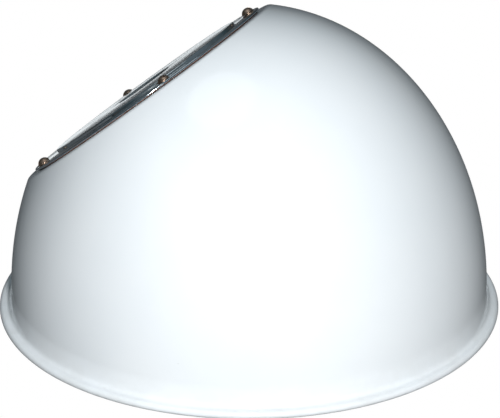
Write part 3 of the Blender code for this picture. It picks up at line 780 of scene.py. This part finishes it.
# =============================== cord inlet ========================================
head_low = recess_top + GAP
bush_where = SLOPE
corner = 20.0 / math.sqrt(3.0)
outline = [(corner * math.cos(math.pi / 3 * k), corner * math.sin(math.pi / 3 * k)) for k in range(6)]
bush = prism("inlet_bush_hexagon", outline, head_low, head_low + 1.5, ZINC, SLOPE, bevel=0)
carve(bush, [turned("chamfer_tool", [(0, head_low + 1.51), (9.6, head_low + 1.51), (11.8, head_low + 0.5), (11.8, head_low - 0.1), (0, head_low - 0.1)], None, SLOPE, 64)], "INTERSECT")
pipe = turned("pipe_tool", [(0.0, head_low + 1.0)] + dense([(6.0, head_low + 1.0), (6.0, -4.4)], 0.16) + [(5.4, -5.0), (0.0, -5.0)], None, SLOPE, 64, radius=thread(1.0, 0.5, -4.6, head_low - 0.8))
carve(bush, [pipe], "UNION")
carve(bush, [turned("bore_tool", [(0.0, 16.0), (5.4, 16.0), (5.0, head_low + 1.51), (4.1, head_low + 0.5), (4.1, -4.3), (4.9, -5.01), (4.9, -12.0), (0.0, -12.0)], None, SLOPE, 48)])
bush.data.shade_smooth()
bush.data.set_sharp_from_angle(angle=math.radians(34.0))
settle(bush, "root", "inlet_bush")

web_high = recess_top - SHEET - GAP
web_low = web_high - SHEET
hexnut("inlet_locknut_steel", "inlet_locknut", (0.0, 0.0), web_low - GAP, 3.8, 18.0, 6.35, ZINC, turn=0.3)

# =============================== lampholder and bracket ============================
FOOT_TOP, FOOT_LOW, half, FIX, EARTH_T = -8.5, -10.0, 32.0, 23.0, -3.4


def strap_outline():
    outer = [(-half, FOOT_LOW, 2.3), (-half, web_high, 2.3), (half, web_high, 2.3), (half, FOOT_LOW, 2.3), (17.0, FOOT_LOW, 0.2), (17.0, FOOT_TOP, 0.2), (half - SHEET, FOOT_TOP, 0.8), (half - SHEET, web_low, 0.8), (-half + SHEET, web_low, 0.8), (-half + SHEET, FOOT_TOP, 0.8), (-17.0, FOOT_TOP, 0.2), (-17.0, FOOT_LOW, 0.2)]
    return rounded(outer, 0.2, 5)


bracket = prism("lampholder_strap", strap_outline(), -10.0, 10.0, ZINC, SLOPE, axis=0, bevel=0)
tools = [rod_tool((0, 0, -3), (0, 0, 8), 6.4, SLOPE, 64)]
tools += [rod_tool((0, y, -13), (0, y, -6), 2.3, SLOPE, 32) for y in (FIX, -FIX)]
tools += [rod_tool((0, half - 5, EARTH_T), (0, half + 3, EARTH_T), 2.3, SLOPE, 32)]
carve(bracket, tools)
soften(bracket, 0.16, 2, 50.0, 34.0)
settle(bracket, "root", "lampholder_bracket")

TOP, SHOULDER, MOUTH_T, FLOOR_T = FOOT_LOW - GAP, -35.0, -57.5, -24.5
holder = turned(
    "lampholder_porcelain",
    rounded(
        [(0.0, TOP), (28.0, TOP, 1.6), (28.0, -17.5, 0.8), (27.2, -18.6, 0.8), (28.0, -19.7, 0.8), (28.0, SHOULDER, 1.8), (18.3, SHOULDER, 0.9), (18.3, MOUTH_T, 1.5), (15.0, MOUTH_T, 1.0), (BORE_R, MOUTH_T + 3, 0.3), (BORE_R, FLOOR_T, 0.8), (0.0, FLOOR_T)],
        0.5,
        5,
        closed=False,
    ),
    PORCELAIN,
    cols=128,
)
tools = [rod_tool((0, y, -45), (0, y, -5), 2.3, SLOPE, 32) for y in (FIX, -FIX)]
tools += [rod_tool((x, 0, -19), (x, 0, -5), 1.9, SLOPE, 32) for x in (16.0, -16.0)]
carve(holder, tools)
holder.data.shade_smooth()
holder.data.set_sharp_from_angle(angle=math.radians(34.0))
settle(holder, "root", "lampholder_body")
for i, y in enumerate((FIX, -FIX), 1):
    round_head(f"lampholder_screw_{i}_steel", f"lampholder_screw_{i}", (0.0, y), FOOT_TOP + GAP, 3.8, 2.4, 2.0, -41.0, ZINC, turn=0.5 + i)
    hexnut(f"lampholder_nut_{i}_steel", f"lampholder_nut_{i}", (0.0, y), SHOULDER - GAP, 3.0, 7.0, 2.3, ZINC, turn=math.pi / 6)

PLATE_LOW = TOP + GAP
for label, x in (("live", 16.0), ("neutral", -16.0)):
    plate = prism(f"terminal_plate_{label}_brass", rounded([(x - 4.2, -5.0), (x + 4.2, -5.0), (x + 4.2, 5.0), (x - 4.2, 5.0)], 1.0, 4), PLATE_LOW, PLATE_LOW + 1.0, SHELL, SLOPE, bevel=0)
    carve(plate, [rod_tool((x, 0, -16), (x, 0, -4), 1.9, SLOPE, 32)])
    soften(plate, 0.12, 2, 50.0)
    settle(plate, "root", f"terminal_plate_{label}")
    round_head(f"terminal_screw_{label}_brass", f"terminal_screw_{label}", (x, 0.0), PLATE_LOW + 1.0 + GAP, 2.9, 1.8, 1.5, -18.0, SHELL, turn=0.9 if x > 0 else -0.2, pitch=0.5)

EARTH = SLOPE @ Matrix.Translation((0.0, half, EARTH_T)) @ Matrix.Rotation(-math.pi / 2, 4, "X")
round_head("earth_screw_brass", "earth_screw", (0.0, 0.0), 0.3, 3.6, 2.4, 2.0, -8.0, SHELL, turn=0.4, pitch=0.7, matrix=EARTH)
hexnut("earth_nut_steel", "earth_nut", (0.0, 0.0), -SHEET - GAP, 3.0, 7.0, 2.3, ZINC, matrix=EARTH)


def e27(depth, low, high):
    """The lamp thread's rounded helix, in step with the bulb's travel."""

    def change(theta, r, z):
        phase = 2 * math.pi * z / PITCH + theta
        fade = np.clip((z - low) / 3.0, 0, 1) * np.clip((high - z) / 2.0, 0, 1)
        return r + depth * np.sin(phase) * fade

    return change


shell_profile = [(10.0, -25.0), (10.0, -25.7)] + dense([(13.75, -25.7), (13.75, -52.0)], 0.45) + dense([(14.28, -52.0), (14.28, -25.0)], 0.45)
shell = turned("lampholder_shell_threaded", shell_profile, SHELL, cols=96, radius=lambda t, r, z: np.where(r > 12, e27(0.3, -51.5, -27.5)(t, r, z), r))
settle(shell, "root", "lampholder_shell")
contact = turned("centre_contact_leaf", [(0.0, -24.8)] + rounded([(6.0, -24.8), (6.0, -25.6), (3.4, -25.8), (2.2, -26.5)], 0.3, 4)[0:] + [(0.0, -26.5)], SHELL, cols=48)
settle(contact, "root", "centre_contact")

# =============================== the bulb ==========================================
tip = turned("bulb_tip_solder", [(0.0, -27.0), (1.6, -27.06), (3.0, -27.35), (4.0, -27.8), (4.45, -28.25), (4.4, -28.6), (0.0, -28.6)], SOLDER, cols=48)
settle(tip, "bulb_carriage", "bulb_tip")
insulator = turned("bulb_insulator_black", [(0.0, -28.9)] + rounded([(5.0, -28.9), (9.8, -32.0), (9.8, -33.4)], 0.6, 5) + [(0.0, -33.4)], BLACK, cols=64)
settle(insulator, "bulb", "bulb_insulator")
cap_profile = [(10.4, -32.4), (11.6, -33.3), (12.4, -34.3)] + dense([(12.68, -35.2), (12.68, -54.4)], 0.4) + [(12.8, -55.2), (12.9, -56.0), (12.7, -56.2)] + [(12.2, -56.2), (12.05, -50.0), (12.05, -36.6), (11.4, -35.0), (10.1, -33.8)]
cap = turned("bulb_cap_threaded", cap_profile, CAP, cols=96, radius=lambda t, r, z: np.where(r > 12.5, e27(0.4, -54.6, -35.0)(t, r, z), r))
settle(cap, "bulb", "bulb_cap")


def bezier(p0, p1, p2, p3, count):
    u = np.linspace(0, 1, count + 1)[:, None]
    v = 1 - u
    p0, p1, p2, p3 = (np.array(p, float) for p in (p0, p1, p2, p3))
    return v**3 * p0 + 3 * v * v * u * p1 + 3 * v * u * u * p2 + u**3 * p3


def envelope(inset):
    swell = bezier((11.8, -56.8), (14.2, -74.0), (34.0, -92.0), (BULB_R - 1.3, -124.0), 36)
    shoulder = bezier((BULB_R - 1.3, -124.0), (BULB_R + 1.2, -135.5), (BULB_R - 2.5, -146.5), (33.0, -152.5), 22)
    face = bezier((33.0, -152.5), (22.0, -156.6), (10.0, -158.4), (0.0, -158.6), 14)
    line = np.concatenate([swell, shoulder[1:], face[1:]])
    if inset:
        along = np.gradient(line, axis=0)
        along /= np.linalg.norm(along, axis=1)[:, None]
        line = line + np.stack([along[:, 1], -along[:, 0]], 1) * inset
        line[-1] = (0.0, -158.6 + inset)
        line[:, 0] = np.maximum(line[:, 0], 0.0)
    neck = np.array([(11.8 - inset, -41.0), (11.8 - inset, -48.0), (11.8 - inset, -55.0)])
    return np.concatenate([neck, line])


glass_profile = np.concatenate([envelope(0.0), envelope(1.2)[::-1]])
glass = turned("bulb_envelope", [tuple(p) for p in glass_profile], SILVER, cols=128, angle=60.0)
glass.data.materials.append(RUBY)
back_m = SLOPE.inverted()
for poly in glass.data.polygons:
    height = (back_m @ (poly.center / MM)).z
    poly.material_index = 1 if height < -136.0 else 0
settle(glass, "bulb", "bulb_glass")
stem = turned("bulb_stem_glass", [(0.0, -41.6)] + rounded([(10.2, -41.6), (10.2, -42.6), (5.0, -48.0, 2.5), (3.6, -56.0, 1.0), (3.2, -78.0, 1.2)], 0.4, 4) + [(0.0, -79.0)], CLEAR, cols=48)
settle(stem, "bulb", "bulb_stem")
wire_path = [(-4.4, 0.0, -76.0), (-5.2, 0.0, -79.0), (-6.0, 0.0, -82.0), (-9.0, 0.0, -87.5), (-12.0, 0.0, -93.0)]
coil = []
arc_turns = 26
for k in range(arc_turns * 10 + 1):
    u = k / (arc_turns * 10)
    a = math.pi * u
    centre = Vector((-12.0 * math.cos(a), 12.0 * math.sin(a), -93.0 - 1.5 * math.sin(a)))
    outward = Vector((-math.cos(a), math.sin(a), 0.0))
    w = 2 * math.pi * arc_turns * u
    coil.append(centre + outward * (0.42 * math.cos(w)) + Vector((0, 0, 0.42 * math.sin(w))))
wire_path += [tuple(p) for p in coil]
wire_path += [(12.0, 0.0, -93.0), (9.0, 0.0, -87.5), (6.0, 0.0, -82.0), (5.2, 0.0, -79.0), (4.4, 0.0, -76.0)]
filament = tube("bulb_filament_coil", wire_path, 0.22, TUNGSTEN, SLOPE, 8)
settle(filament, "bulb", "bulb_filament")

# =============================== wire guard ========================================
ring = tube("guard_wires", [(GUARD_R * math.cos(a), GUARD_R * math.sin(a), GUARD_Z) for a in (2 * math.pi * k / 160 for k in range(160))], RING_WIRE_R, GUARD, WORLD, 16, closed=True)
parts = []
spacing = 2 * GUARD_R / 10
for k in range(9):
    y = (k - 4) * spacing
    reach = math.sqrt(GUARD_R**2 - y**2) - 0.4
    parts.append(tube("bar", [(-reach + 2 * reach * j / 8, y, GUARD_Z) for j in range(9)], BAR_R, None, WORLD, 14))
for x in (-105.0, 0.0, 105.0):
    reach = math.sqrt(GUARD_R**2 - x**2) - 0.4
    parts.append(tube("cross", [(x, -reach + 2 * reach * j / 8, GUARD_Z - 2.0) for j in range(9)], BAR_R, None, WORLD, 14))
parts.append(prism("tab", [(175.0, 7.9), (HINGE_X - 0.2, 7.9), (HINGE_X - 0.2, 10.1), (175.0, 10.1)], -7.6, 7.6, None, WORLD, axis=1, bevel=0))
parts.append(rod_tool((HINGE_X, -8, GUARD_Z), (HINGE_X, 8, GUARD_Z), 3.4, WORLD, 48))
carve(ring, parts, "UNION")
carve(ring, [rod_tool((HINGE_X, -12, GUARD_Z), (HINGE_X, 12, GUARD_Z), 1.9, WORLD, 32)])
ring.data.materials.clear()
ring.data.materials.append(GUARD)
for poly in ring.data.polygons:
    poly.material_index = 0
ring.data.shade_smooth()
ring.data.set_sharp_from_angle(angle=math.radians(38.0))
settle(ring, "guard", "guard_grille")


def pad_outline(z_low, z_high):
    return [(PAD_X, z_low), (PAD_X + 1.4, z_low), (PAD_X + 1.4, z_high - 8.0), (PAD_X + 0.7, z_high), (PAD_X, z_high)]


bracket = prism("guard_hinge_ears", pad_outline(6.2, 23.0), -12.0, 12.0, ENAMEL, WORLD, axis=1, bevel=0)
ears = []
for y in (8.4, -10.6):
    ear = [(HINGE_X - 2.6, GUARD_Z - 2.6, 1.6), (PAD_X + 0.6, GUARD_Z - 2.6, 0.1), (PAD_X + 0.6, GUARD_Z + 7.0, 0.1), (HINGE_X, GUARD_Z + 3.4, 1.5), (HINGE_X - 2.6, GUARD_Z + 1.6, 1.5)]
    ears.append(prism("ear", rounded(ear, 0.5, 4), y, y + 2.2, None, WORLD, axis=1, bevel=0))
carve(bracket, ears, "UNION")
carve(bracket, [rod_tool((HINGE_X, -14, GUARD_Z), (HINGE_X, 14, GUARD_Z), 1.9, WORLD, 32)])
soften(bracket, 0.2, 2, 50.0)
settle(bracket, "root", "guard_hinge_bracket")
PIN = Matrix.Translation((HINGE_X, 0.0, GUARD_Z)) @ Matrix.Rotation(math.pi / 2, 4, "X")
pin = turned("guard_hinge_pin_steel", rounded([(0.0, 13.0), (2.5, 13.0, 0.7), (2.5, 10.9, 0.2), (1.55, 10.9, 0.1), (1.55, -12.6, 0.4), (0.0, -12.6)], 0.2, 4, closed=False), ZINC, PIN, 40)
settle(pin, "root", "guard_hinge_pin")

# =============================== turn button =======================================
SHELF_LOW, SHELF_HIGH = 14.0, 15.5
latch = prism("latch_shelf_pad", [(-x, z) for x, z in reversed(pad_outline(10.0, 23.0))], -8.0, 8.0, ENAMEL, WORLD, axis=1, bevel=0)
shelf = prism("shelf", rounded([(-PAD_X - 0.6, -7.4, 0.1), (LATCH_X + 5.6, -7.4, 2.6), (LATCH_X + 5.6, 7.4, 2.6), (-PAD_X - 0.6, 7.4, 0.1)], 0.3, 5), SHELF_LOW, SHELF_HIGH, None, WORLD, bevel=0)
carve(latch, [shelf], "UNION")
carve(latch, [rod_tool((LATCH_X, 0, 8), (LATCH_X, 0, 20), 2.2, WORLD, 32)])
soften(latch, 0.2, 2, 50.0)
settle(latch, "root", "latch_bracket")
AT_LATCH = Matrix.Translation((LATCH_X, 0.0, 0.0))
rivet = turned(
    "latch_pin_rivet",
    [(0.0, 17.6), (1.2, 17.52), (2.2, 17.3), (2.9, 16.9), (3.25, 16.35), (3.3, SHELF_HIGH + GAP), (1.85, SHELF_HIGH + GAP), (1.85, 2.9), (3.2, 2.9), (3.2, 2.1), (2.9, 1.6), (2.2, 1.25), (0.0, 1.2)],
    ZINC,
    AT_LATCH,
    48,
)
settle(rivet, "root", "latch_pin")
outline = [(3.6 * math.cos(a), 3.6 * math.sin(a)) for a in [math.pi + math.pi * k / 16 for k in range(17)]]
outline += rounded([(3.6, 0.0), (3.2, 11.0, 4.0), (2.2, 14.5, 1.2), (-2.2, 14.5, 1.2), (-3.2, 11.0, 4.0), (-3.6, 0.0)], 1.0, 4)[1:-1]
button = prism("latch_button_steel", outline, 3.2, 5.2, ZINC, AT_LATCH, bevel=0)
carve(button, [rod_tool((LATCH_X, 0, 0), (LATCH_X, 0, 8), 2.2, WORLD, 32)])
soften(button, 0.3, 3, 50.0)
settle(button, "turn_button", "latch_button")

# =============================== stage, light and camera ===========================
scene = bpy.context.scene
AZIMUTH, ELEVATION, DISTANCE = math.radians(27.32), math.radians(26.29), 8.0
PX_PER_MM = 1.2459
ORIGIN_PX = (249.06, 307.83)
CARD_X = -0.3205


def back_vector(azimuth, elevation):
    return Vector((math.sin(azimuth) * math.cos(elevation), -math.cos(azimuth) * math.cos(elevation), math.sin(elevation)))


back = back_vector(AZIMUTH, ELEVATION)
right = Vector((math.cos(AZIMUTH), math.sin(AZIMUTH), 0.0))
up = back.cross(right)
aim_at = (up * ((ORIGIN_PX[1] - 209.0) / PX_PER_MM) + right * ((250.0 - ORIGIN_PX[0]) / PX_PER_MM)) * MM
camera_data = bpy.data.cameras.new("camera")
camera = bpy.data.objects.new("camera", camera_data)
scene.collection.objects.link(camera)
camera.location = back * DISTANCE
forward = (aim_at - camera.location).normalized()
camera.rotation_mode = "QUATERNION"
camera.rotation_quaternion = forward.to_track_quat("-Z", "Y")
camera_data.sensor_width = 36.0
camera_data.lens = 36.0 * DISTANCE * 1000.0 / (500.0 / PX_PER_MM)
camera_data.clip_start, camera_data.clip_end = 0.05, 100.0
scene.camera = camera


def area_light(name, azimuth, elevation, distance, size, power, colour, target=(0.0, 0.0, 0.1)):
    data = bpy.data.lights.new(name, "AREA")
    data.shape = "DISK"
    data.size = size
    data.energy = power
    data.color = colour
    obj = bpy.data.objects.new(name, data)
    scene.collection.objects.link(obj)
    towards = back_vector(math.radians(azimuth), math.radians(elevation))
    obj.location = Vector(target) + towards * distance
    obj.rotation_mode = "QUATERNION"
    obj.rotation_quaternion = (-towards).to_track_quat("-Z", "Y")
    return obj


area_light("flash", 31.4, 26.0, 4.2, 0.45, 202.0, (1.0, 1.0, 1.0))
area_light("overhead", -60.0, 78.0, 1.6, 0.9, 2.0, (0.92, 0.97, 1.0))
under = area_light("under", 20.0, -62.0, 2.0, 0.8, 26.0, (1.0, 1.0, 1.0), (0.0, 0.0, 0.05))
under.visible_camera = False

world = bpy.data.worlds.new("room")
world.use_nodes = True
scene.world = world
wt = world.node_tree
background = wt.nodes["Background"]
direction = wt.nodes.new("ShaderNodeTexCoord").outputs["Generated"]
_, _, height = split(wt, direction)
tone = ramp(wt, remap(wt, height, -1.0, 1.0, 0.0, 1.0), [(0.0, (0.10, 0.10, 0.10)), (0.48, (0.060, 0.052, 0.046)), (0.62, (0.035, 0.055, 0.062)), (1.0, (0.16, 0.19, 0.21))])
wt.links.new(tone, background.inputs["Color"])
background.inputs["Strength"].default_value = 1.0

# the floor is open under the mouth, inside the rim, so that views from below see into the hood
floor_mesh = bpy.data.meshes.new("floor")
around = [(math.cos(2 * math.pi * k / 128), math.sin(2 * math.pi * k / 128)) for k in range(128)]
floor_mesh.from_pydata(
    [(r * c, r * s, -0.0004) for r in (0.1962, 40.0) for c, s in around],
    [],
    [(k, 128 + k, 128 + (k + 1) % 128, (k + 1) % 128) for k in range(128)],
)
floor = bpy.data.objects.new("floor", floor_mesh)
scene.collection.objects.link(floor)
floor_material = bpy.data.materials.new("pale_floor")
floor_material.use_nodes = True
ft = floor_material.node_tree
ft.nodes.clear()
paths = ft.nodes.new("ShaderNodeLightPath")
dull = ft.nodes.new("ShaderNodeBsdfDiffuse")
dull.inputs["Color"].default_value = (0.16, 0.165, 0.17, 1.0)
glow = ft.nodes.new("ShaderNodeEmission")
glow.inputs["Color"].default_value = (1.0, 1.0, 1.0, 1.0)
glow.inputs["Strength"].default_value = 1.0
choose = ft.nodes.new("ShaderNodeMixShader")
ft.links.new(paths.outputs["Is Camera Ray"], choose.inputs[0])
ft.links.new(dull.outputs[0], choose.inputs[1])
ft.links.new(glow.outputs[0], choose.inputs[2])
out = ft.nodes.new("ShaderNodeOutputMaterial")
ft.links.new(choose.outputs[0], out.inputs[0])
floor_mesh.materials.append(floor_material)

# a pale card on the floor behind, which the pan's far half mirrors
card_mesh = bpy.data.meshes.new("card")
card_mesh.from_pydata([(x, y, 0.0004) for x, y in ((CARD_X, 0.19), (CARD_X + 0.0235, 0.19), (CARD_X + 0.0145, 0.56), (CARD_X - 0.014, 0.56))], [], [(0, 1, 2, 3)])
card = bpy.data.objects.new("card", card_mesh)
scene.collection.objects.link(card)
card_material = bpy.data.materials.new("pale_card")
card_material.use_nodes = True
ct = card_material.node_tree
ct.nodes.clear()
card_glow = ct.nodes.new("ShaderNodeEmission")
card_glow.inputs["Color"].default_value = (0.93, 0.98, 1.0, 1.0)
card_glow.inputs["Strength"].default_value = 0.95
card_out = ct.nodes.new("ShaderNodeOutputMaterial")
ct.links.new(card_glow.outputs[0], card_out.inputs[0])
card_mesh.materials.append(card_material)
card.visible_camera = False
card.visible_diffuse = False
card.visible_shadow = False

scene.view_settings.view_transform = "Standard"
